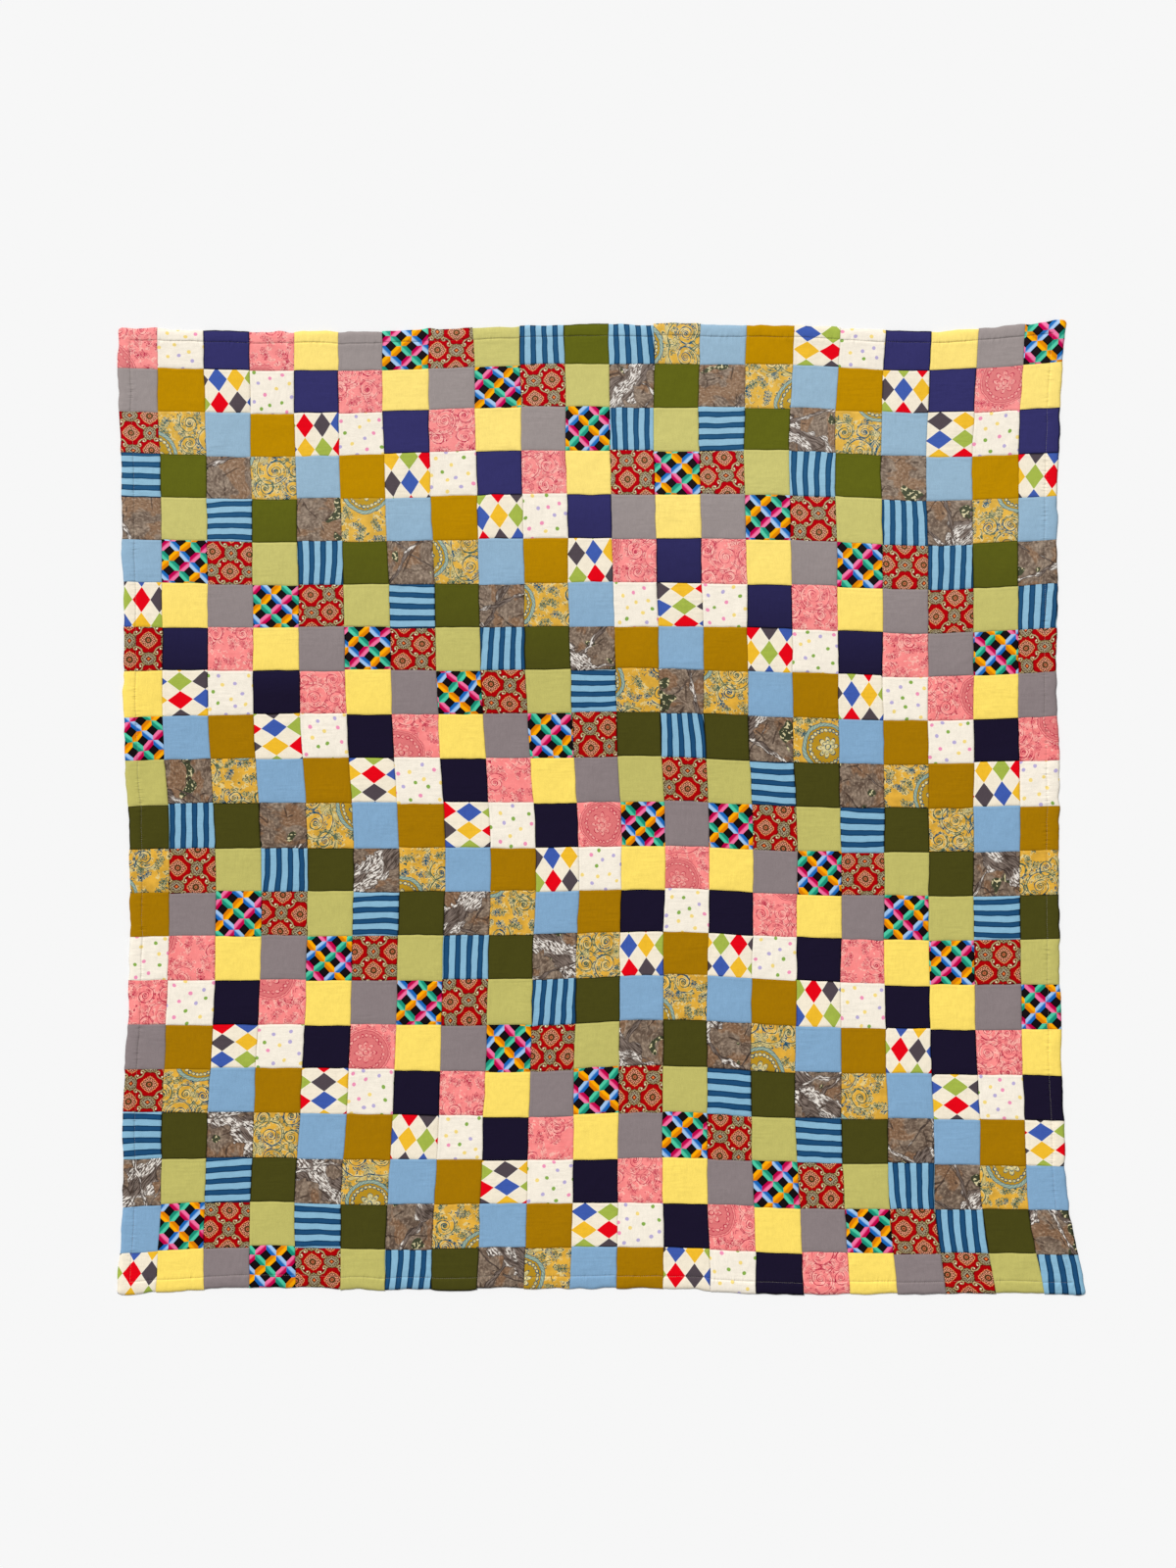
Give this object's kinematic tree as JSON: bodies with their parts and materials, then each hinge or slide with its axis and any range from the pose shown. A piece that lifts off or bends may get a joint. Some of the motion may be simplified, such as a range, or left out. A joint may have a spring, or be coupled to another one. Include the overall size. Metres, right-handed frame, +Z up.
{
  "type": "patchwork quilt",
  "caption": "Thin patchwork quilt laid flat, its squares swelling softly between seams, with uneven drawn edges, flared corners and a stitched hem all round.",
  "frame": {"origin": "middle of the quilt's outline, on the surface that its underside lies on", "axes": "+Z up, out of the patched face; +Y along the sewn strips, towards the first row of squares; +X across the strips"},
  "size_m": [2.18, 2.1922, 0.004],
  "materials": {
    "patchwork": "matt woven cotton squares in plains and small prints"
  },
  "bodies": {
    "root": {"quilt": "patchwork"}
  },
  "joints": []
}
